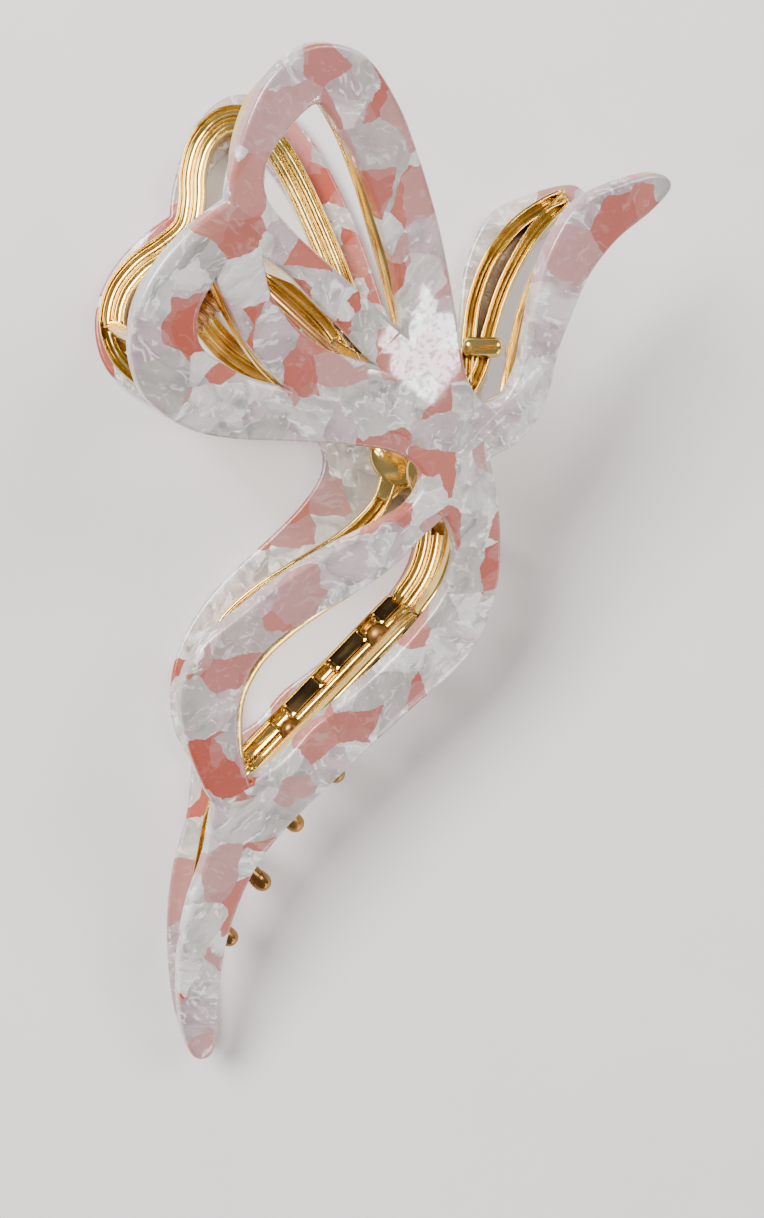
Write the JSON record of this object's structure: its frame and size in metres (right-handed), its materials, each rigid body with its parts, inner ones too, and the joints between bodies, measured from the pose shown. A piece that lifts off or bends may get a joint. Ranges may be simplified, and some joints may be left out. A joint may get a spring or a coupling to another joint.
{
  "type": "claw clip",
  "caption": "Hair claw clip: two bow-shaped openwork acetate jaws on gold cast frames with curved interleaving teeth, joined by a sprung hinge.",
  "frame": {"origin": "middle of the rear plate's waist, on that plate's flat outer face", "axes": "X along the hinge pin, from the tail to the short leaf; +Y from the teeth to the handle lobes, in the rear plate's plane; +Z from the rear plate towards the front jaw"},
  "size_m": [0.1126, 0.0831, 0.0508],
  "materials": {
    "acetate": "polished cellulose acetate, pearl grey and coral flakes in a clear body",
    "cast_frame": "bright gold plating over a casting",
    "hinge_pin": "bright gold plating",
    "spring_wire": "copper-gold plated spring steel"
  },
  "bodies": {
    "rear_jaw": {"rear_plate": "acetate", "rear_frame": "cast_frame", "hinge_pin": "hinge_pin", "torsion_spring": "spring_wire"},
    "front_jaw": {"front_plate": "acetate", "front_frame": "cast_frame"}
  },
  "joints": [
    {"name": "jaw_hinge", "type": "hinge", "parent": "rear_jaw", "child": "front_jaw", "pos_m": [-0.006, 0.027, 0.02171], "axis": [-1, 0, 0], "range_deg": [0, 55], "stiffness_Nm_per_rad": 0.08, "springref_deg": -85.94, "deforming": ["torsion_spring"]}
  ]
}
